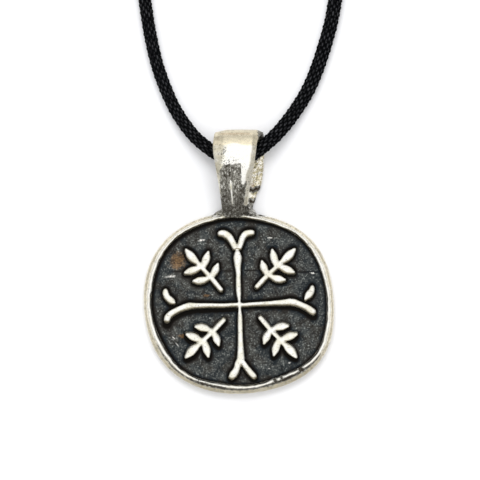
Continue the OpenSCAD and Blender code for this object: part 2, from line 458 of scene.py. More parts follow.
@dataclass(frozen=True)
class AntiquedSilver:
    """Silver plate, blackened where it is sunk and rubbed bright where it stands out, with some
    shade and highlights painted on.
    """

    bright: Colour = (0.90, 0.885, 0.83)
    warm: Colour = (0.72, 0.69, 0.55)
    # The cream and the olive below colour yellowed metal, and also paint shade on the lower flanks.
    cream_and_shade: Colour = (0.62, 0.55, 0.41)
    straw: Colour = (0.95, 0.86, 0.65)
    olive: Colour = (0.42, 0.38, 0.27)
    # The field's black, for its patina and also for painted shade and shadows.
    black: Colour = (0.007, 0.006, 0.005)
    slate: Colour = (0.008, 0.012, 0.016)
    haze: Colour = (0.205, 0.215, 0.200)
    peat: Colour = (0.017, 0.014, 0.012)
    fleck: Colour = (0.50, 0.53, 0.50)
    umber: Colour = (0.034, 0.028, 0.021)
    pewter: Colour = (0.31, 0.30, 0.26)
    seam: Colour = (0.045, 0.031, 0.020)
    dust: Colour = (0.74, 0.73, 0.67)
    rust: Colour = (0.27, 0.145, 0.052)
    moss: Colour = (0.25, 0.22, 0.09)

    def material(self) -> Material:
        """Build the finish.

        Returns:
            A material that reads the attributes that Stains writes.
        """
        material, desk, shader = new_material("antiqued_silver")
        place = desk.millimetres()
        grain = CastGrain.place(desk, Place=place, Dents=0.9, Pits=2.6, Tooth=9.0)
        broad = desk.noise(place, 0.42, 2)
        drift = desk.noise(place, 0.75, 5, 0.62)
        mottle = desk.noise(place, 1.25, 6, 0.72)
        grit = desk.noise(place, 4.2, 4, 0.75)
        speckle = desk.noise(place, 2.7, 3, 0.7)
        ragged = desk.minus(mottle, 0.5)

        def masked(name: str, spread: float, low: float, high: float) -> NodeSocket:
            """An attribute with an uneven border."""
            return desk.step(desk.scaled(ragged, spread, desk.attribute(name)), low, high)

        sunk = masked("sunk", 0.3, 0.35, 0.65)
        # Black near the field's walls and strokes: patina in the hollows, with painted shade under
        # the rim and painted shadows below the strokes.
        near = masked("near", 0.8, 0.45, 0.85)
        tarnish = masked("tarnish", 1.5, 0.32, 0.62)
        # The cream and olive: yellowed metal, and painted shade on the lower flanks.
        cream_and_shade = masked("cream_and_shade", 0.7, 0.25, 0.8)
        pitted = desk.broken(desk.attribute("pitted"), grit, 0.55, 0.63)
        # Bright rubs on the field, and painted highlights on the solder.
        rub_and_highlight = desk.broken(masked("rub_and_highlight", 1.6, 0.35, 0.8), grit, 0.4, 0.56, 0.15, 1)
        rust = desk.broken(masked("rust", 2.4, 0.3, 1.0), grit, 0.36, 0.62, 0.25, 1)
        crust = desk.attribute("crust")
        worn = desk.minus(1, desk.attribute("polished"), clamp=True)
        dulled = desk.broken(desk.broken(worn, mottle, 0.55, 0.68), grit, 0.46, 0.6)
        metal = desk.coated(
            self.bright,
            (desk.broken(worn, drift, 0.4, 0.68), self.warm),
            (desk.attribute("straw"), self.straw),
            (cream_and_shade, desk.blend(desk.step(speckle, 0.42, 0.6), self.cream_and_shade, self.olive)),
            (desk.broken(crust, speckle, 0.52, 0.58), self.bright),
            (desk.broken(crust, speckle, 0.43, 0.5, 0.7, 0), self.moss),
            (desk.broken(crust, grit, 0.38, 0.44, 0.8, 0), self.umber),
            (desk.times(grain.outputs["Pit"], worn, 0.45), self.umber),
            (pitted, self.umber),
            (desk.times(rust, 0.6), self.rust),
            (desk.times(dulled, 0.6), self.pewter),
        )

        open_field = desk.step(desk.attribute("near"), 0.03, 0.5, 1, 0.1)
        cloud = desk.broken(desk.step(drift, 0.36, 0.64, 0.25, 1), mottle, 0.34, 0.66, 0.2, 1)
        dusty = desk.broken(desk.scaled(cloud, 0.75, 0.25), grit, 0.5, 0.59)
        dusty = desk.math("MAXIMUM", desk.times(cloud, 0.42), dusty)
        flecked = desk.broken(desk.scaled(cloud, 0.8, 0.2), grit, 0.58, 0.65)
        slate = desk.coated(
            self.slate,
            (desk.step(broad, 0.42, 0.6), self.peat),
            (desk.times(dusty, open_field), self.haze),
            (desk.times(flecked, open_field), self.fleck),
            (desk.times(rust, 0.75), self.rust),
            # The black of the patina, of the painted shade and of the painted shadows.
            (near, self.black),
        )

        deep = desk.step(desk.attribute("tarnish"), 1.0, 1.5)
        coarse = desk.noise(desk.stretched(place, (1.0, 0.5, 1.0)), 3.3, 5, 0.8)
        seam = desk.scaled(ragged, 1.4, desk.attribute("tarnish"))
        patina = desk.coated(
            self.umber,
            (desk.step(drift, 0.36, 0.66, 0.35, 0.9), self.pewter),
            (desk.times(deep, 0.65), self.umber),
            (desk.step(coarse, 0.39, 0.49, 0.95, 0), self.umber),
            (desk.broken(desk.scaled(deep, -0.6, 0.95), coarse, 0.53, 0.61), self.dust),
            (desk.step(seam, 1.5, 1.9), self.seam),
        )

        dark = desk.math("MAXIMUM", sunk, desk.times(tarnish, 0.45))
        dark = desk.times(dark, desk.minus(1, rub_and_highlight))
        rough = desk.scaled(cream_and_shade, 0.12, desk.scaled(dark, 0.28, 0.17))
        rugged = desk.scaled(desk.math("MAXIMUM", sunk, tarnish), 0.9, 0.05)
        height = desk.scaled(mottle, rugged, desk.times(grain.outputs["Height"], 0.5))
        desk.wire(shader, {
            "Base Color": desk.coated(metal, (tarnish, patina), (sunk, slate),
                                      (rub_and_highlight, self.bright)),
            "Specular IOR Level": desk.scaled(near, -0.06, 0.075),
            "Metallic": desk.scaled(dark, -0.8, 1),
            "Roughness": desk.scaled(grain.outputs["Tooth"], 0.14, rough),
            "Normal": desk.bump(desk.scaled(pitted, -0.5, height), 0.09),
        })
        return material


@dataclass(frozen=True)
class BraidedYarn:
    """Black waxed yarn, its fibres drawn along each carrier of the braid, each carrier with a
    painted highlight.
    """

    dark: Colour = (0.0018, 0.0019, 0.0022)
    # The painted highlight's colour.
    light: Colour = (0.044, 0.045, 0.049)
    carriers: int = 8
    # Millimetres along the cord for each carrier round it.
    pitch: float = 1.15
    # Fibres side by side in a carrier.
    fibres: int = 5

    def material(self) -> Material:
        """Build the finish.

        Returns:
            A material that reads the piece's UV map: u in millimetres along the
            cord, v in carriers round it.
        """
        material, desk, shader = new_material("braided_cord")
        split = desk.wire(desk.add("SeparateXYZ"),
                          {0: desk.add("UVMap", uv_map="braid").outputs[0]})
        along = desk.math("DIVIDE", split.outputs[0], self.pitch)
        one, two = desk.plus(split.outputs[1], along), desk.minus(split.outputs[1], along)
        cells = desk.plus(desk.math("FLOOR", one), desk.math("FLOOR", two))
        over = desk.math("ABSOLUTE", desk.math("MODULO", cells, 2))
        one, two = desk.math("FRACT", one), desk.math("FRACT", two)
        across = desk.wire(desk.add("Mix", data_type="FLOAT"), {0: over, 2: one, 3: two})
        threads = desk.math("SINE", desk.times(across.outputs[0], TURN * self.fibres))
        # Each carrier gets a painted highlight: a lighter lens along the cord, in its base colour.
        wide = desk.times(desk.minus(desk.plus(one, two), 1), 2.2)
        long = desk.times(desk.minus(one, two), 1.15)
        lens = desk.plus(desk.math("POWER", wide, 2), desk.math("POWER", long, 2))
        fuzz = desk.noise(desk.millimetres(), 2.4, 5, 0.75)
        share = desk.broken(desk.step(lens, 0.1, 1.0, 1, 0), fuzz, 0.42, 0.6, 0.05, 1)
        height = desk.scaled(threads, 0.5, desk.times(fuzz, 1.2))
        desk.wire(shader, {
            "Base Color": desk.blend(share, self.dark, self.light),
            "Roughness": desk.step(fuzz, 0.3, 0.7, 0.42, 0.62),
            "Specular IOR Level": desk.times(share, 0.12),
            "Normal": desk.bump(height, 0.03, 0.7),
        })
        return material


@dataclass(frozen=True)
class PolishedSteel:
    """The clasp's plain polished metal, with fine turning marks and soft wear."""

    colour: Colour = (0.66, 0.65, 0.63)
    worn: Colour = (0.80, 0.79, 0.76)

    def material(self) -> Material:
        """Build the finish."""
        material, desk, shader = new_material("clasp_metal")
        place = desk.millimetres()
        grain = CastGrain.place(desk, Place=place, Dents=0.5, Pits=2.0, Tooth=9.0)
        marks = desk.noise(desk.stretched(place, (14, 0.6, 0.6)), 1.0, 3, 0.6)
        height = desk.plus(marks, desk.times(grain.outputs["Height"], 0.5))
        desk.wire(shader, {
            "Base Color": desk.blend(desk.step(marks, 0.35, 0.65), self.colour, self.worn),
            "Metallic": 1,
            "Roughness": desk.scaled(grain.outputs["Tooth"], 0.14, 0.16),
            "Normal": desk.bump(height, 0.012),
        })
        return material


# ---- the pendant -----------------------------------------------------------


@dataclass(frozen=True)
class Stroke:
    """A raised stroke: x, y and width at each point of its way."""

    points: tuple[tuple[float, float, float], ...]
    height: float = 0.8
    start: Tip = Tip.ROUND
    end: Tip = Tip.ROUND
    # How far down, below the stroke, its black is drawn out as a painted shadow, at its start and
    # at its end.
    shadow_drops: tuple[float, float] = (0.42, 0.5)

    # The section from flank to flank: shares of the half width and of the height. What is
    # under the field is in millimetres.
    SECTION = ((-1.04, -0.4), (-1.0, 0.32), (-0.93, 0.66), (-0.75, 0.88), (-0.38, 0.98),
               (0.38, 0.98), (0.75, 0.88), (0.93, 0.66), (1.0, 0.32), (1.04, -0.4))
    SWELL = 0.12
    # The flank on the lower side is less steep, so the foot is this much lower on the face.
    DROOP = 0.3
    # Where the stations of a rounded end are, in degrees.
    TURNS = (25, 50, 72)

    def way(self, step: float = 0.16) -> Array:
        """Points and widths along the stroke."""
        return smooth_way(self.points, step)

    def rings(self, level: float) -> list[Array]:
        """Sections along the stroke, on a field at this level.

        Args:
            level: Height of the field.

        Returns:
            One ring of points for each station, its ends rounded over.
        """
        way = self.way()
        heading = unit(np.gradient(way[:, :2], axis=0))
        stations = [(p[:2], d, (p[2] + self.SWELL) / 2, 1.0) for p, d in zip(way, heading)]
        first, last = stations[0], stations[-1]
        if self.start is Tip.ROUND:
            stations = [self._rounded(first, -1, t) for t in reversed(self.TURNS)] + stations
        if self.end is Tip.ROUND:
            stations += [self._rounded(last, 1, t) for t in self.TURNS]
        section = np.array(self.SECTION)
        rings = []
        for middle, ahead, half, share in stations:
            side = np.array([-ahead[1], ahead[0]])
            flat = middle + section[:, :1] * half * side
            up = np.where(section[:, 1] > 0, section[:, 1] * self.height * share, section[:, 1])
            flat[:, 1] -= self.DROOP * (1 - np.clip(section[:, 1], 0, 1)) ** 0.6
            rings.append(np.c_[flat, level + up])
        return rings

    @staticmethod
    def _rounded(station: tuple, way: int, degrees: float) -> tuple:
        """A station past an end, narrower and lower."""
        middle, ahead, half, _ = station
        c, s = math.cos(math.radians(degrees)), math.sin(math.radians(degrees))
        return middle + way * ahead * half * s, ahead, half * c, c ** 0.45


@dataclass
class CastDisc:
    """The disc with its rim, its sunken field, the cross and the four sprigs."""

    # The outline's and the field's mean radius, then their waves: how many go
    # round, size, and where the first one stands out, in degrees.
    radius: float = 15.10
    waves: tuple = ((1, 0.139, 76), (2, 0.438, -17), (3, 0.057, -86), (4, 0.302, -164),
                    (5, 0.065, -175), (6, 0.074, -166))
    hollow: float = 13.85
    hollow_waves: tuple = ((1, 0.427, 83), (2, 0.407, -17), (3, 0.096, -54), (4, 0.269, -154),
                           (5, 0.071, -157), (6, 0.062, -150), (7, 0.051, -178), (8, 0.085, 54))
    field_z: float = 1.6
    rim_h: float = 0.75
    columns: int = 300
    # Share of the way in from the outline to the field, further inset, height.
    rows: tuple = (
        (0, 0.50, 0), (0, 0.12, 0.3), (0, 0, 0.8), (0, 0.04, 1.2), (0.12, 0, 1.42), (0.38, 0, 1.62),
        (0.47, 0, 1.72), (0.50, 0, 2.05), (0.56, 0, 2.32), (0.70, 0, 2.38), (0.88, 0, 2.35),
        (0.98, 0, 2.12), (1.0, 0.04, 1.8), (1.0, 0.10, 1.6),
    )
    # The rows that a gaping seam pushes inwards, and how far; the row in the seam, and its depth.
    pushed_rows: tuple = (5, 6, 7, 8, 9)
    push: float = 0.1
    groove_row: int = 6
    groove_depth: float = 0.48
    # The uneven rows along the crest, and those down the field's wall.
    crest_rows: tuple = (7, 8, 9, 10, 11)
    wall_rows: tuple = (11, 12, 13)
    # Where the rim is nicked: angle in degrees, width in degrees, depth.
    nicks: tuple = ((-46.4, 1.5, 0.45), (-64.6, 1.2, 0.4), (-59.7, 1.0, 0.32), (152, 0.8, 0.15),
                    (-98, 1.5, 0.12), (-118, 1.2, 0.2), (33, 0.9, 0.16), (41, 0.7, 0.2),
                    (54, 0.9, 0.14), (118, 0.8, 0.14), (-20, 0.9, 0.14))
    # How open the seam under the rim is: angle in degrees, share.
    seam: tuple = ((-168, 0), (-150, 0.4), (-135, 0.65), (-122, 0.85), (-112, 1.15), (-104, 1.1),
                   (-97, 0.8), (-88, 0.85), (-78, 0.7), (-70, 0.85), (-60, 1.15), (-45, 1.1),
                   (-36, 0.55), (-25, 0))
    cross: tuple = (
        Stroke(((-0.25, 8.22, 1.05), (-0.22, 7.62, 1.38), (-0.21, 7.03, 1.26), (-0.2, 6.33, 1.02),
                (-0.15, 5.64, 0.86), (-0.11, 4.94, 0.78), (-0.11, 3.85, 0.8), (-0.08, 2.56, 0.82),
                (-0.05, 1.97, 0.78), (0.0, 1.32, 0.62), (0.04, 0.73, 0.42), (0.06, 0.28, 0.4)),
               end=Tip.CUT),
        Stroke(((-0.5, 8.93, 0.8), (-0.86, 9.7, 0.98), (-1.14, 10.26, 1.06), (-1.52, 10.82, 1.15),
                (-1.99, 11.24, 1.2), (-2.54, 11.46, 1.16), (-3.0, 11.42, 0.86)), start=Tip.CUT),
        Stroke(((0.0, 8.93, 0.7), (0.23, 9.65, 0.82), (0.37, 10.26, 0.96), (0.57, 10.82, 0.98),
                (0.97, 11.31, 1.06), (1.52, 11.54, 1.0), (2.06, 11.57, 0.88)), start=Tip.CUT),
        Stroke(((0.08, -0.12, 0.4), (0.11, -0.61, 0.42), (0.13, -1.18, 0.56), (0.17, -1.8, 0.74),
                (0.18, -2.7, 0.77), (0.2, -4.29, 0.8), (0.22, -5.67, 0.86), (0.26, -6.77, 1.0),
                (0.28, -7.66, 1.16), (0.28, -8.35, 1.3), (0.26, -8.95, 1.25)), start=Tip.CUT),
        Stroke(((0.05, -8.65, 0.9), (-0.22, -9.25, 0.95), (-0.3, -9.79, 1.0), (-0.57, -10.44, 1.15),
                (-0.91, -10.93, 1.25), (-1.17, -11.28, 1.0)), start=Tip.CUT),
        Stroke(((0.45, -8.75, 0.8), (0.79, -9.25, 0.84), (1.24, -9.88, 0.9), (1.75, -10.54, 0.95),
                (2.2, -11.03, 0.95), (2.4, -11.25, 0.88)), start=Tip.CUT),
        Stroke(((0.1, 0.12, 0.6), (-0.99, 0.1, 0.6), (-2.28, 0.02, 0.62), (-3.77, 0.02, 0.64),
                (-5.16, 0.02, 0.68), (-6.05, 0.0, 0.72), (-7.2, 0.0, 0.88), (-7.93, -0.05, 1.1),
                (-8.59, -0.23, 1.02), (-9.31, -0.5, 0.94), (-10.09, -0.89, 0.94),
                (-10.81, -1.31, 1.0), (-11.29, -1.8, 1.06), (-11.45, -2.25, 1.0)), start=Tip.CUT,
               shadow_drops=(0.72, 0.85)),
        Stroke(((-0.05, 0.12, 0.6), (0.89, 0.1, 0.6), (2.08, 0.2, 0.6), (3.37, 0.27, 0.62),
                (4.66, 0.34, 0.7), (5.9, 0.42, 0.8), (7.14, 0.5, 0.95), (8.02, 0.58, 1.08),
                (8.63, 0.52, 1.14), (9.33, 0.32, 1.0), (10.02, 0.02, 0.94), (10.72, -0.3, 1.0),
                (11.31, -0.69, 1.08), (11.76, -1.03, 1.0)), start=Tip.CUT, shadow_drops=(0.34, 0.8)),
        Stroke(((-11.66, 2.18, 0.92), (-11.61, 1.79, 1.05), (-11.29, 1.24, 1.0),
                (-10.77, 0.79, 1.12), (-10.42, 0.53, 0.85), (-10.26, 0.37, 0.45))),
        Stroke(((11.61, 2.78, 0.78), (11.49, 2.31, 1.02), (11.08, 1.73, 1.18), (10.69, 1.19, 0.75),
                (10.52, 0.92, 0.4))),
    )
    # One sprig, drawn for the upper right quarter round its own middle.
    sprig: tuple = (
        Stroke(((-2.9, -2.95, 0.7), (-2.0, -2.0, 0.8), (-1.0, -0.95, 0.72), (0.2, 0.15, 0.7),
                (1.2, 1.15, 0.7))),
        Stroke(((1.0, 0.95, 0.55), (1.75, 1.6, 1.25), (2.45, 2.3, 1.3), (3.05, 2.9, 0.6))),
        Stroke(((-1.25, -1.15, 0.5), (-1.55, -0.35, 1.08), (-1.85, 0.4, 1.15), (-2.05, 1.0, 0.5)),
               0.76),
        Stroke(((0.15, 0.3, 0.5), (0.0, 1.2, 1.15), (-0.25, 2.1, 1.2), (-0.42, 2.8, 0.5))),
        Stroke(((-0.8, -1.3, 0.5), (0.0, -1.55, 1.1), (0.85, -1.75, 1.15), (1.55, -1.88, 0.5)),
               0.76),
        Stroke(((0.6, 0.3, 0.5), (1.45, 0.0, 1.15), (2.3, -0.35, 1.2), (3.0, -0.68, 0.5))),
    )
    # Middle x and y, mirror in x, mirror in y, turn in degrees.
    sprig_places: tuple = ((-5.5, 5.6, -1, 1, 4), (5.7, 5.9, 1, 1, 0), (-5.3, -5.5, -1, -1, 0),
                           (6.1, -5.3, 1, -1, 3))
    # How far down, below the sprigs, their black is drawn out as a painted shadow.
    sprig_shadow_drop: float = 0.36

    def edge(self, angle: Array) -> Array:
        """Radius of the outline at an angle in radians."""
        return waved(self.radius, self.waves, angle)

    def inner(self, angle: Array) -> Array:
        """Radius of the sunken field at an angle in radians."""
        return waved(self.hollow, self.hollow_waves, angle)

    def groove(self, angle: Array) -> Array:
        """How open the seam under the rim is, 0 to about 1; it gapes along the lower edge."""
        share = np.interp(in_degrees(angle), *np.array(self.seam).T)
        return share * (0.92 + 0.08 * ripple(angle, 4))

    def nick(self, angle: Array) -> Array:
        """How deep the rim is nicked at an angle in radians."""
        return sum(depth * ridge(in_degrees(angle - math.radians(at)), width)
                   for at, width, depth in self.nicks)

    def blank(self) -> Object:
        """The disc and its rim, extruded row by row from the back."""
        angle = circle(self.columns)
        nick = self.nick(angle)
        edge, inner, groove = self.edge(angle), self.inner(angle), self.groove(angle)
        rings = []
        for row, (share, inset, level) in enumerate(self.rows):
            if row in self.pushed_rows:
                share = share + self.push * groove
            radius = edge - share * (edge - inner) - inset
            z = np.full_like(angle, level)
            if row == self.groove_row:
                z -= self.groove_depth * groove
            if row in self.crest_rows:
                radius += 0.06 * ripple(angle, 1, (5, 9, 14, 23, 37, 53))
                z += (0.05 * ripple(angle, 2) - nick) * (level - self.field_z) / self.rim_h
            if row in self.wall_rows:
                radius += 0.085 * ripple(angle, 3, (9, 17, 29, 47, 61))
            rings.append(np.c_[radius * np.cos(angle), radius * np.sin(angle), z])
        return Bench.extrude_rings("disc_blank", rings)

    def raised(self, name: str, strokes: Sequence[Stroke]) -> list[Object]:
        """Strokes raised from the field."""
        return [Bench.extrude_rings(f"{name}_{i}", stroke.rings(self.field_z))
                for i, stroke in enumerate(strokes)]

    def relief(self) -> list[Object]:
        """The raised strokes of the cross and the sprigs."""
        pieces = self.raised("cross_stroke", self.cross)
        sprig = Bench.join("sprig", self.raised("sprig_stroke", self.sprig))
        for i, (x, y, flip_x, flip_y, turn) in enumerate(self.sprig_places):
            place = (Matrix.Translation((x, y, 0)) @ Matrix.Diagonal((flip_x, flip_y, 1, 1))
                     @ Matrix.Rotation(math.radians(turn), 4, "Z"))
            pieces.append(Bench.copy_of(sprig, f"sprig_{i}", place))
        bpy.data.objects.remove(sprig)
        return pieces

    def ways(self) -> Array:
        """Points along every raised stroke, in the disc's frame.

        Returns:
            A row for each: x, y, half width, how far down its painted shadow reaches.
        """
        step, halved = 0.3, (1, 1, 0.5)
        rows = []
        for stroke in self.cross:
            way = stroke.way(step) * halved
            rows.append(np.c_[way, np.linspace(*stroke.shadow_drops, len(way))])
        for x, y, flip_x, flip_y, turn in self.sprig_places:
            for stroke in self.sprig:
                way = stroke.way(step) * halved
                u, v = turned(way[:, 0], way[:, 1], turn)
                rows.append(np.c_[x + flip_x * u, y + flip_y * v, way[:, 2],
                                  np.full(len(way), self.sprig_shadow_drop)])
        return np.concatenate(rows)


@dataclass
class StrapBail:
    """The bent strap that the cord runs through, with its solder."""

    thick: float = 1.0
    width: float = 6.9
    # y and z along the middle of the strap, sideways shift, share of the width.
    path: tuple = (
        (14.1, 1.75, -0.75, 0.57), (15.3, 2.8, -0.74, 0.58), (18, 4.2, -0.72, 0.68),
        (21, 5.17, -0.7, 0.83), (24, 5.6, -0.7, 0.97), (25.6, 5.47, -0.62, 1),
        (26.5, 4.95, -0.4, 1.03), (27.05, 4.05, -0.2, 1.06), (27.2, 2.95, 0, 1.08),
        (26.9, 1.65, 0.35, 1.04), (26, 0.75, 0.55, 1), (24.2, 0.5, 0.6, 1), (20.5, 0.5, 0.6, 0.93),
        (18.4, 0.5, 0.52, 0.82), (17.7, 0.5, 0.4, 0.72), (16.6, 0.5, 0.33, 0.66),
        (15.6, 0.5, 0.2, 0.58), (13.5, 0.55, 0.1, 0.55),
    )
    # How many of these points lie along the strap's front.
    front: int = 6
    # x, y, z, then the half lengths of each lump of solder.
    lumps: tuple = (
        (-3.0, 14.2, 0.9, 1.0, 0.75, 0.95), (-2.2, 14.6, 1.0, 0.9, 0.7, 1.0),
        (1.95, 14.35, 0.9, 0.85, 0.75, 1.0), (1.2, 15.1, 0.9, 0.8, 0.8, 1.0),
        (-0.6, 14.5, 1.1, 1.5, 0.7, 1.1), (2.55, 14.0, 0.8, 0.6, 0.5, 0.8),
    )
    # The size of the lumps' unevenness, how fine it is, and the lowest that it reaches.
    lump_wave: float = 0.14
    lump_grain: float = 1.6
    lump_floor: float = 0.05

    def facets(self, y: Array) -> tuple[Array, Array]:
        """Where the slanted borders begin, as shares of the half width, left and right."""
        left = 0.5 + 0.35 * ease(24.8 - y, 0, 5.5)
        right = 0.77 - 0.14 * ease(22.2 - y, 0, 2.2) + 0.04 * ease(19.6 - y, 0, 1.2)
        return left, right

    def across(self, x: Array, y: Array) -> Array:
        """Where places lie across the strap's front, -1 at its left edge to 1 at its right."""
        at, _, shift, share = np.array(self.path[:self.front]).T
        return (x - np.interp(y, at, shift)) / (np.interp(y, at, share) * self.width / 2)

    def sheen(self, x: Array) -> Array:
        """Where the yellowed bend of the front begins, as a y for each x."""
        return 25.12 + 0.2 * np.sin(0.9 * x + 2.2) - 0.1 * np.sin(2.1 * x)

    def strap(self) -> Object:
        """The strap, extruded station by station, with its slanted border facets."""
        way = smooth_way(self.path, 0.3)
        along = unit(np.gradient(way[:, :2], axis=0))
        rings = []
        for (y, z, shift, share), (dy, dz) in zip(way, along):
            left, right = self.facets(np.array(y))
            section = np.array(((-1, -0.7), (-0.93, -1), (0.93, -1), (1, -0.7), (1, 0.3),
                                (right, 0.96), (0.1, 1.02), (-left, 0.96), (-1, 0.12)))
            half = share * self.width / 2
            rings.append(np.c_[shift + section[:, 0] * half,
                               y - section[:, 1] * self.thick / 2 * dz,
                               z + section[:, 1] * self.thick / 2 * dy])
        return Bench.extrude_rings("bail_strap", rings)

    def solder(self) -> list[Object]:
        """The lumps that hold the strap's feet to the disc's edge."""
        pieces = []
        for i, lump in enumerate(self.lumps):
            Bench.clear()
            bpy.ops.mesh.primitive_ico_sphere_add(subdivisions=4, radius=1, location=lump[:3],
                                                  scale=lump[3:])
            piece = bpy.context.object
            piece.name = f"solder_{i}"
            bpy.ops.object.transform_apply(location=True, rotation=True, scale=True)
            spots, outward = read_points(piece.data)
            swell = np.array([noise.noise(Vector(spot) * self.lump_grain) for spot in spots])
            spots += outward * self.lump_wave * swell[:, None]
            spots[:, 2] = np.maximum(spots[:, 2], self.lump_floor)
            write_points(piece.data, spots)
            pieces.append(piece)
        return pieces


@dataclass
class Stains:
    """Where the casting is sunk, tarnished, rusty or rubbed bright, and where shade and highlights
    are painted on, over all its points.

    A number beside x, y or z in a mask is a place on the casting, in millimetres.
    """

    disc: CastDisc
    bail: StrapBail
    spots: Array
    outward: Array
    # Stains: x, y, half lengths, strength.
    rust_spots: tuple = ((-9.7, 6.8, 1.35, 1.5, 1.15), (-5.1, 1.4, 0.8, 0.35, 0.9),
                         (-9.1, -5.0, 0.6, 0.45, 1.0), (2.15, 18.95, 0.35, 0.5, 1.3),
                         (-0.5, 26.9, 2.3, 0.15, 3.0), (-3.25, 26.05, 0.4, 0.5, 0.7))
    # Black pools and fainter scores on the field: x, y, half lengths, faintness.
    pools: tuple = ((11.75, -1.95, 0.3, 0.2, 0.0), (-2.9, 5.35, 2.0, 0.0, 0.2),
                    (2.2, 5.4, 1.3, 0.0, 0.22), (10.9, 5.15, 1.8, 0.02, 0.2),
                    (-9.6, 5.2, 1.0, 0.0, 0.25), (3.6, 4.7, 0.9, 0.0, 0.25))
    # Painted highlights on the solder, bright specks in its colour: x, y, half lengths, strength.
    solder_highlights: tuple = ((2.2, 14.7, 1.0, 0.6, 0.72), (-0.95, 14.35, 0.25, 0.4, 1.0),
                     (0.65, 14.3, 0.35, 0.25, 1.2), (1.75, 15.6, 0.25, 0.4, 1.1),
                     (2.9, 14.35, 0.3, 0.3, 1.1), (2.3, 15.9, 0.5, 0.3, 0.8))
    # Bright rubs on the field: x, y, half lengths, turn in degrees.
    rubs: tuple = (
        (-10.8, 4.45, 1.0, 0.27, 8), (-6.0, 10.2, 0.7, 0.2, 10), (4.9, 10.6, 0.6, 0.15, 0),
        (11.6, 5.0, 0.7, 0.17, -12), (8.0, -9.3, 0.35, 0.16, 20), (4.8, -10.2, 0.22, 0.14, 0),
        (-10.4, -5.3, 0.5, 0.12, -50), (-9.9, -6.3, 0.6, 0.1, -50),
    )
    # Small pits on the strap: x, y, half lengths, strength, lowest height (-9 for any).
    pits: tuple = ((-3.75, 22, 0.25, 1.4, 0.8, -9), (-2.8, 22.3, 0.45, 0.7, 1, -9),
                   (-1.3, 22.6, 1.0, 0.5, 1, 3), (0.85, 21.6, 0.3, 0.5, 1, 3),
                   (1.6, 19.7, 0.3, 0.9, 1, 2.5))

    MASKS = ("sunk", "near", "rust", "rub_and_highlight", "tarnish", "cream_and_shade", "straw", "polished", "pitted",
             "crust")

    def __post_init__(self) -> None:
        """Work out what more than one mask needs."""
        self.x, self.y, self.z = x, y, _ = self.spots.T
        self.angle, self.reach = np.arctan2(y, x), np.hypot(x, y)
        self.inner, self.groove = self.disc.inner(self.angle), self.disc.groove(self.angle)
        self.inside = self.inner + 0.02 - self.reach
        self.across = self.bail.across(x, y)
        self.left, self.right = self.bail.facets(y)
        self.on_disc = y < DISC_TOP
        self.on_rim = self.reach > self.inner - 0.1

    def write(self, mesh: Mesh) -> None:
        """Write every mask to the mesh as an attribute of its name."""
        for name in self.MASKS:
            values = getattr(self, name)().astype(np.float32)
            mesh.attributes.new(name, "FLOAT", "POINT").data.foreach_set("value", values)

    def spotted(self, spots: tuple) -> Array:
        """The strongest of the spots at each point."""
        return np.maximum.reduce([strength * blob(self.x, self.y, *spot)
                                  for *spot, strength in spots])

    def disc_side(self, low: float, high: float) -> Array:
        """The disc's outer side, up to a height."""
        return fall(self.z, low, high) * self.on_disc

    def back_strap(self, low: float, high: float) -> Array:
        """The strap's back layer, from an x on."""
        return ease(self.x, low, high) * fall(self.z, 1.5, 2.4)

    def sunk(self) -> Array:
        """The sunken field, 0 to 1."""
        return ease(self.inside, -0.04, 0.12) * fall(self.z - self.disc.field_z, 0.12, 0.42)

    def near(self) -> Array:
        """How near the walls, strokes, black pools and scores of the field are, 0 to 1: the black
        patina in its hollows, with painted shade inside the rim along its top and upper left, and
        painted shadows drawn out below the strokes.
        """
        x, y = self.x, self.y
        # Painted shade: the black reaches further in along the top and the upper left of the field,
        # where the rim's shadow falls.
        shaded = 0.2 * ease(np.cos(self.angle - math.radians(150)), -0.1, 0.6)
        clear = self.inside - 0.02 - shaded - 0.12 * ease(np.sin(self.angle), 0.3, 0.9)
        for mid_x, mid_y, half, shadow_drop in self.disc.ways():
            # Each stroke's black is also drawn a little lower on the face, as a painted shadow
            # below it.
            for lower in (0, shadow_drop):
                clear = np.minimum(clear, np.hypot(x - mid_x, y - mid_y + lower) - half)
        clear = np.maximum(clear, 0)
        for mid_x, mid_y, half_x, half_y, faint in self.pools:
            past_x = np.maximum(np.abs(x - mid_x) - half_x, 0)
            past_y = np.maximum(np.abs(y - mid_y) - half_y, 0)
            clear = np.minimum(clear, faint + np.hypot(past_x, past_y * (2 if faint else 1)))
        return 1 / (1 + (clear / 0.33) ** 2.1)

    def rust(self) -> Array:
        """Rusty stains, 0 to about 3."""
        return self.spotted(self.rust_spots)

    def rub_and_highlight(self) -> Array:
        """Bright rubs on the field, and painted highlights on the solder, 0 to about 1."""
        rubs = []
        for mid_x, mid_y, half_x, half_y, turn in self.rubs:
            u, v = turned(self.x - mid_x, self.y - mid_y, -turn)
            rubs.append(0.9 * blob(u, v, 0, 0, half_x, half_y))
        return np.maximum.reduce([*rubs, self.spotted(self.solder_highlights)]) * (self.z < 2.2)

    def tarnish(self) -> Array:
        """How dark the bail, its solder and the seam under the rim are, by place.

        Returns:
            0 for clean, 1 for a full patina, and more for its darker parts.
        """
        x, y, z = self.x, self.y, self.z
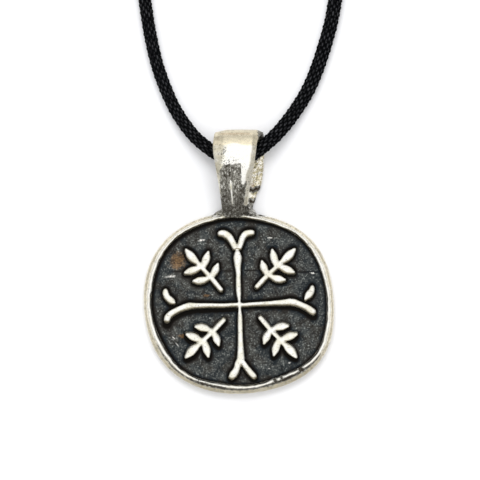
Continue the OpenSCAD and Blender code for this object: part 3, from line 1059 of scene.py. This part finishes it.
        # The patina on the lower part of the strap's front, with its bright wedge and line.
        clean = ease(self.across - self.right, -0.08, 0.02) * ease(y, 15.4, 15.9)
        top = 22.1 + 0.08 * np.sin(2.6 * x + 1.6) + 0.06 * np.sin(7.3 * x)
        top = top - 0.25 * ease(-x, 1.4, 2.6)
        side = -3.1 + 0.06 * np.sin(2.9 * y) + 0.35 * ease(y, 21.0, 22)
        wedge = ease(x, 0.3, 0.42) * ease(y, 18.75, 19.1)
        line = ridge(x + 1.325 - 0.087 * (19.53 - y), 0.11) * band(y, 15.5, 15.9, 19.3, 19.9)
        deep = 0.4 * fall(y, 15.6, 19) + 0.6 * ease(self.across, 0.32, 0.42) * fall(y, 18.4, 19.2)
        panel = ease(x - side, -0.2, 0.5) * (1 - clean) * fall(y - top, -0.4, 0.4)
        panel = panel * ease(z, 1.2, 1.8) * ease(y, 14.2, 14.6) * (1 - wedge) * (1 + deep)
        panel = np.minimum(panel - 2.0 * line, 1.4)
        hem = ridge(x - 0.59 - 0.136 * (y - 15.75), 0.14) * band(y, 15.4, 16, 19.2, 19.7)
        # The solder and the disc's upper edge.
        feet = band(y, 13.95, 14.25, 15.2, 16.4) * fall(z, 2.6, 3.2)
        feet = feet * (0.55 + 0.95 * ease(x, -2.5, -2.0) + 0.3 * ease(x, 0.6, 1.2))
        lip = blob(x, y, -0.9, 14.05, 1.6, 0.38, 4) * ease(z, 1.6, 1.9)
        # The seam under the rim, and the nicks in the rim.
        edge = self.disc.edge(self.angle)
        depth = (edge - self.reach) / (edge - self.inner)
        seam = ridge(depth - 0.47 - 0.1 * self.groove, 0.08 + 0.06 * self.groove) * self.groove
        gash = ease(self.disc.nick(self.angle), 0.12, 0.3) * band(depth, 0.5, 0.62, 0.95, 1.1)
        # Two dark bars on the back strap, and the bail's upper right corner.
        sway = y + 0.16 * np.sin(3.4 * x + 0.6) + 0.07 * np.sin(9 * x)
        bars = np.maximum(ridge(sway - 18.3, 0.34), ridge(sway - 16.5, 0.4))
        bars = bars * ease(x, 1.4, 1.8) * fall(z, 1.5, 2)
        corner = ease(x, 2.7, 3.0) * ease(y, 25.6, 26.2)
        dark = np.maximum.reduce([
            panel, 1.35 * hem * ease(z, 2, 2.5), np.minimum(feet, 1.4), 0.72 * lip,
            1.9 * seam * ease(z, 0.9, 1.2) * self.on_disc, 1.7 * gash, 1.9 * bars, 0.6 * corner,
        ])
        return np.where(line > 0.2, panel, dark)

    def cream_and_shade(self) -> Array:
        """Where the metal is yellowed and dull instead of bright, and where painted shade dulls the
        lower flanks, 0 to 1.
        """
        y, z, across, bail = self.y, self.z, self.across, self.y > 14.3
        bend = ease(y - self.bail.sheen(self.x), 0, 0.2) * fall(y, 26.0, 26.5)
        return np.maximum.reduce([
            self.disc_side(1.62, 1.85) * (0.4 + 0.3 * self.groove),
            self.groove * ease(z, 1.8, 2.1) * self.on_rim * self.on_disc * 0.2,
            # Painted shade: faces turned towards the lower edge, the lower flanks of the strokes
            # and of the rim, take the dull cream and olive, as the light falls from the upper edge.
            ease(-self.outward[:, 1], 0.12, 0.5) * ease(z, 1.7, 1.9) * self.on_disc * 0.82,
            ease(-self.left - across, -0.05, 0.05) * ease(z, 1.5, 2.2) * bail * 0.52,
            ease(across - self.right, -0.03, 0.05) * ease(z, 1.8, 2.4) * bail * 0.55,
            ease(y, 26.85, 27.0) * ease(z, 2.0, 3.0) * 0.6,
            bend * ease(z, 3.0, 4.0) * 0.38,
            self.back_strap(1.6, 2.4) * (y > 14.5) * 0.42,
        ])

    def straw(self) -> Array:
        """Where the polished metal is evenly yellowed, 0 to 1."""
        bend = ease(self.y - self.bail.sheen(self.x), -0.05, 0.12) * ease(self.z, 2.0, 3.0)
        back = self.back_strap(1.6, 2.4) * (self.y > 14.5)
        return np.maximum.reduce([bend, back * 0.9, self.disc_side(1.62, 1.85) * 0.75])

    def polished(self) -> Array:
        """Where the bail's front shines like a mirror, and the raised work is rubbed, 0 to 1."""
        mirror = ease(self.across + self.left, 0.02, 0.2) * ease(self.z, 3.0, 3.6)
        mirror = mirror * ease(self.right - self.across, -0.02, 0.06) * ease(self.y, 18.5, 19.5)
        rubbed = ease(self.z, 1.95, 2.2) * self.on_disc * (0.32 + 0.3 * self.on_rim)
        return np.maximum(mirror, rubbed)

    def pitted(self) -> Array:
        """Where small dark pits are strewn, 0 to 1."""
        x, y, z = self.x, self.y, self.z
        few = [strength * blob(x, y, *spot) * ease(z, low, low + 1)
               for *spot, strength, low in self.pits]
        return np.clip(np.maximum.reduce([
            *few,
            ridge(x + 2.5, 0.5) * ease(z, 2.5, 3.5) * band(y, 20.5, 21.5, 24.6, 25.4),
            self.back_strap(1.8, 2.4) * (y > 14.5) * 0.4,
            band(y, 14.0, 14.6, 16, 17) * fall(z, 2.6, 3.2),
            self.disc_side(1.45, 1.75) * 0.35,
        ]), 0, 1)

    def crust(self) -> Array:
        """Where olive and dark specks lie thick on the metal, 0 to 1."""
        foot = ease(-self.x, 2.3, 2.8) * ease(self.y, 13.9, 14.3) * fall(self.z, 2.2, 2.8)
        strap = self.back_strap(1.6, 2.2) * ease(self.y, 14.2, 14.8)
        return np.maximum.reduce([strap, foot, self.disc_side(1.45, 1.75) * 0.3])


@dataclass
class Pendant:
    """The one-piece casting: the disc and, soldered to it, the bail."""

    disc: CastDisc = field(default_factory=CastDisc)
    bail: StrapBail = field(default_factory=StrapBail)
    finish: AntiquedSilver = field(default_factory=AntiquedSilver)
    voxel: float = 0.105
    most_triangles: int = 190000
    # The back stays flat under this height, and the smoother strap begins at this y.
    flat_under: float = 0.02
    strap_from: float = 15.5

    def build(self) -> Object:
        """Model the casting, stain it and give it its finish.

        Returns:
            The finished piece, in metres.
        """
        parts = [self.disc.blank(), *self.disc.relief(), self.bail.strap(), *self.bail.solder()]
        piece = Bench.join("pendant_cast", parts)
        size = self.voxel * 1
        Bench.apply(piece, "REMESH", mode="VOXEL", voxel_size=size, use_smooth_shade=True)
        Bench.apply(piece, "SMOOTH", factor=0.5, iterations=1)
        self.cast_surface(piece)
        self.thin_back(piece)
        Stains(self.disc, self.bail, *read_points(piece.data)).write(piece.data)
        Bench.finish(piece, self.finish.material())
        return piece

    def cast_surface(self, piece: Object) -> None:
        """Give the faces the slight waves and the solder the pits of a casting."""
        spots, outward = read_points(piece.data)
        for i, (spot, out) in enumerate(zip(spots, outward)):
            x, y, z = spot
            if z < self.flat_under:
                continue
            at = Vector(spot)
            push = 0.022 * noise.noise(at * 1.3)
            push += 0.012 * noise.noise(at * 3.1 + Vector((7, 0, 3)))
            if y > self.strap_from:
                push *= 0.35
            elif y > 13.6 and z < 2.3 and abs(x) < 4.4:
                push += 0.07 * noise.noise(at * 2.7)
            spots[i] = spot + out * push
        write_points(piece.data, spots)

    def thin_back(self, piece: Object) -> None:
        """Take faces off the plain back until the piece is light enough."""
        mesh = piece.data
        mesh.calc_loop_triangles()
        count = len(mesh.loop_triangles)
        LOG.info("pendant has %d triangles before thinning", count)
        if count <= self.most_triangles:
            return
        group = piece.vertex_groups.new(name="keep")
        for vert in mesh.vertices:
            low = vert.co.z < 0.75 and vert.co.y < 14
            group.add([vert.index], 1.0 if low else 0.02, "REPLACE")
        Bench.apply(piece, "DECIMATE", decimate_type="COLLAPSE", ratio=self.most_triangles / count,
                    vertex_group="keep", vertex_group_factor=10.0)


# ---- the cord and its clasp ------------------------------------------------


@dataclass
class NeckCord:
    """The round braid, from one end of the clasp through the bail to the other."""

    radius: float = 1.0
    relief: float = 0.24
    # A soft cord lies a little flattened, more so on its right side.
    spread: float = 1.13
    spread_right: float = 0.05
    sides: int = 40
    step: float = 0.205
    finish: BraidedYarn = field(default_factory=BraidedYarn)
    # x, y and height along the hidden way, the same on both sides, then along the seen one.
    hidden: tuple = (
        (-6, 222, 2.2), (-7.5, 222, 2.2), (-9, 222, 2.2), (-15, 221, 1.4), (-21, 216, 1),
        (-26, 206, 1), (-29, 190, 1), (-30, 170, 1), (-29, 150, 1), (-27, 128, 1), (-20, 80, 1),
        (-17, 62, 1),
    )
    seen: tuple = (
        (-15, 48.4, 1), (-14, 42.3, 1), (-12.7, 37.1, 1), (-10.4, 31.5, 1.1), (-7.6, 27.3, 1.6),
        (-5, 24.9, 2.1), (-2.7, 23.5, 2.2), (-0.4, 23.1, 2.2), (1.6, 23.6, 2.2), (3.6, 24.9, 2.3),
        (6.5, 27.6, 1.8), (9.5, 31.6, 1.1), (11.75, 35.75, 1), (13.95, 42.2, 1), (15.3, 48.4, 1),
    )

    def route(self) -> tuple:
        """The points of the whole way, from one end of the clasp to the other."""
        return (*self.hidden, *self.seen, *((-x, y, z) for x, y, z in reversed(self.hidden)))

    def height(self, along: Array, round_it: Array) -> Array:
        """The braid's relief, 0 to 1: carriers that pass over and under each other.

        Args:
            along: Millimetres along the cord.
            round_it: Carriers round the cord.

        Returns:
            The height at each place.
        """
        one = round_it + along / self.finish.pitch
        two = round_it - along / self.finish.pitch
        over = (np.floor(one) + np.floor(two)) % 2
        across = np.where(over == 0, one % 1, two % 1)
        length = np.where(over == 0, two % 1, one % 1)
        return np.sin(np.pi * across) ** 0.7 * (0.25 + 0.75 * np.sin(np.pi * length) ** 0.6)

    def skin(self, way: Array, gone: Array) -> Array:
        """The braid's surface: a ring of points round each point of its way.

        Args:
            way: Points along the cord.
            gone: How far along each of them is.

        Returns:
            The places, by ring and by side.
        """
        ahead = unit(np.gradient(way, axis=0))
        side = unit(np.cross((0, 0, 1), ahead))
        up = np.cross(ahead, side)
        turn = np.arange(self.sides) / self.sides
        carved = self.height(gone[:, None], (turn * self.finish.carriers)[None, :])
        bulge = self.radius - self.relief + self.relief * carved
        angle = TURN * turn
        spread = (self.spread + self.spread_right * np.tanh(way[:, 0] / 4)
                  + 0.012 * np.sin(gone * 1.9 + np.sin(gone)))
        sideways = np.cos(angle)[None, :, None] * (side * spread[:, None])[:, None]
        return way[:, None] + bulge[..., None] * (sideways
                                                  + np.sin(angle)[None, :, None] * up[:, None])

    def build(self) -> Object:
        """Sweep the braid along its route.

        Returns:
            The finished cord, in metres, with its UV map called braid.
        """
        way = smooth_way(self.route(), self.step * (1), along=3)
        gone = distance_along(way)
        count, n = len(way), self.sides
        start, column = np.arange(count - 1)[:, None] * n, np.arange(n)[None, :]
        first, after = start + column, start + (column + 1) % n
        quads = np.stack([first, first + n, after + n, after], axis=-1)[..., ::-1].reshape(-1, 4)
        ends = [list(range(n - 1, -1, -1)), list(range((count - 1) * n, count * n))]
        mesh = bpy.data.meshes.new("cord_braid")
        points = self.skin(way, gone).reshape(-1, 3)
        mesh.from_pydata(points.tolist(), [], quads.tolist() + ends)
        self.map_braid(mesh, gone, len(quads))
        piece = bpy.data.objects.new("cord_braid", mesh)
        bpy.context.collection.objects.link(piece)
        Bench.take(piece)
        Bench.face_outwards()
        Bench.finish(piece, self.finish.material())
        LOG.info("cord is %.1f mm long", gone[-1])
        return piece

    def map_braid(self, mesh: Mesh, gone: Array, quads: int) -> None:
        """Lay the UV map: millimetres along, carriers round.

        Args:
            mesh: The cord's mesh, its side faces first.
            gone: Distance along the route at each ring.
            quads: How many side faces there are.
        """
        layer = mesh.uv_layers.new(name="braid")
        ring, column = np.divmod(np.arange(quads), self.sides)
        near, far = gone[ring], gone[ring + 1]
        low, high = (edge / self.sides * self.finish.carriers for edge in (column, column + 1))
        corners = [np.c_[near, low], np.c_[far, low], np.c_[far, high], np.c_[near, high]]
        flat = np.zeros((len(mesh.loops), 2))
        flat[:quads * 4] = np.stack(corners, axis=1)[:, ::-1].reshape(-1, 2)
        layer.data.foreach_set("uv", flat.ravel().astype(np.float32))


@dataclass
class BarrelClasp:
    """The plain barrel that both ends of the cord go into."""

    middle: tuple = (0.0, 222.0, 2.2)
    length: float = 12.0
    width: float = 4.4
    sides: int = 64
    # The end edges, sharper than this many degrees, stay sharp.
    sharp: float = 40
    # One half: distance from the middle and radius, as shares of the half length and width.
    half: tuple = (
        (-1.0, 0.6), (-1.0, 0.70), (-0.985, 0.745), (-0.9, 0.88), (-0.8, 0.96), (-0.74, 0.99),
        (-0.7, 1.0), (-0.2, 1.0), (-0.185, 0.985), (-0.17, 0.985), (-0.155, 1.0), (-0.07, 1.0),
        (-0.045, 0.95),
    )
    finish: PolishedSteel = field(default_factory=PolishedSteel)

    def build(self) -> Object:
        """Extrude the barrel along its axis and give it its finish.

        Returns:
            The finished clasp, in metres.
        """
        angle = circle(self.sides)
        x, y, z = self.middle
        rings = []
        for share, wide in (*self.half, *((-share, wide) for share, wide in reversed(self.half))):
            r = wide * self.width / 2
            rings.append(np.c_[np.full_like(angle, x + share * self.length / 2),
                               y + r * np.cos(angle), z + r * np.sin(angle)])
        piece = Bench.extrude_rings("clasp_barrel", rings)
        Bench.finish(piece, self.finish.material(), self.sharp)
        return piece


# ---- the studio ------------------------------------------------------------


@dataclass
class Studio:
    """The white table, the soft light and the camera straight above, in metres."""

    eye: tuple = (0.00016, 0.01024, 0.30)
    lens: float = 140.8
    sensor: float = 36
    paper: Colour = (0.945, 0.948, 0.965)
    wall: Colour = (0.96, 0.96, 0.965)
    # How bright the tent is, from straight below to straight above.
    tent: tuple = ((0.0, 0.54), (0.3, 0.60), (0.6, 0.76), (0.8, 0.98), (0.92, 1.22), (1.0, 1.25))
    softbox: tuple = (-0.03, 0.46, 0.52)
    softbox_size: tuple = (0.5, 0.3)
    softbox_watts: float = 2.3

    def table(self) -> None:
        """A plain white table top."""
        Bench.clear()
        bpy.ops.mesh.primitive_plane_add(size=4, location=(0, 0, 0))
        top = bpy.context.object
        top.name = "table_top"
        material, desk, shader = new_material("white_paper")
        fibre = desk.noise(desk.millimetres(), 0.05)
        rough = desk.step(fibre, 0.3, 0.7, 0.85, 0.95)
        desk.wire(shader, {"Base Color": self.paper, "Roughness": rough})
        top.data.materials.append(material)

    def world(self) -> None:
        """A white tent: bright above, greyer towards its sides."""
        world = bpy.data.worlds.new("white_tent")
        bpy.context.scene.world = world
        world.use_nodes = True
        desk = Desk(world.node_tree)
        split = desk.wire(desk.add("SeparateXYZ"), {0: desk.add("TexCoord").outputs["Generated"]})
        ramp = desk.wire(desk.add("ValToRGB"), {0: split.outputs[2]})
        stops = ramp.color_ramp.elements
        while len(stops) < len(self.tent):
            stops.new(0.5)
        # The ramp holds half of each brightness, and the tent's strength doubles it.
        for stop, (at, grey) in zip(stops, self.tent):
            stop.position = at
            stop.color = (grey / 2, grey / 2, grey / 2, 1)
        tent = desk.wire(desk.add("Background"), {"Color": ramp.outputs[0], "Strength": 2.0})
        wall = desk.wire(desk.add("Background"), {"Color": self.wall, "Strength": 1.0})
        seen = desk.add("LightPath").outputs["Is Camera Ray"]
        mixed = desk.wire(desk.add("MixShader"), {0: seen, 1: tent.outputs[0], 2: wall.outputs[0]})
        desk.wire(desk.add("OutputWorld"), {0: mixed.outputs[0]})

    def lamp(self) -> None:
        """A softbox beyond the upper edge, for the soft shadow; no metal mirrors it."""
        lamp = bpy.data.lights.new("softbox", "AREA")
        lamp.shape, lamp.energy = "RECTANGLE", self.softbox_watts
        lamp.size, lamp.size_y = self.softbox_size
        box = bpy.data.objects.new("softbox", lamp)
        box.location = self.softbox
        aim = Vector((0, 0.01, 0)) - Vector(self.softbox)
        box.rotation_euler = aim.to_track_quat("-Z", "Y").to_euler()
        box.visible_glossy = False
        bpy.context.collection.objects.link(box)

    def camera(self) -> None:
        """A camera straight above, its frame as wide as the photograph's."""
        data = bpy.data.cameras.new("overhead")
        data.sensor_width, data.lens = self.sensor, self.lens
        data.clip_start, data.clip_end = 0.01, 20
        eye = bpy.data.objects.new("overhead", data)
        eye.location = self.eye
        bpy.context.collection.objects.link(eye)
        bpy.context.scene.camera = eye
        bpy.context.scene.view_settings.view_transform = "Standard"


def place(piece: Object, node: str, slot: str) -> None:
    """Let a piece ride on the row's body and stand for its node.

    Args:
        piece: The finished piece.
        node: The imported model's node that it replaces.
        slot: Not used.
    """
    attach(piece, Body.ROOT.value)
    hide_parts(node)
    piece.data.calc_loop_triangles()
    LOG.info("%s: %d triangles", piece.name, len(piece.data.loop_triangles))


def main() -> None:
    """Build the studio and every piece in order."""
    logging.basicConfig(level=logging.INFO, format="%(name)s: %(message)s")
    studio = Studio()
    studio.camera()
    place(NeckCord().build(), "cord", "braided_cord")
    place(BarrelClasp().build(), "clasp", "clasp_metal")
    place(Pendant().build(), "pendant", "antiqued_silver")
    studio.table()
    studio.world()
    studio.lamp()


if __name__ == "__main__":
    main()
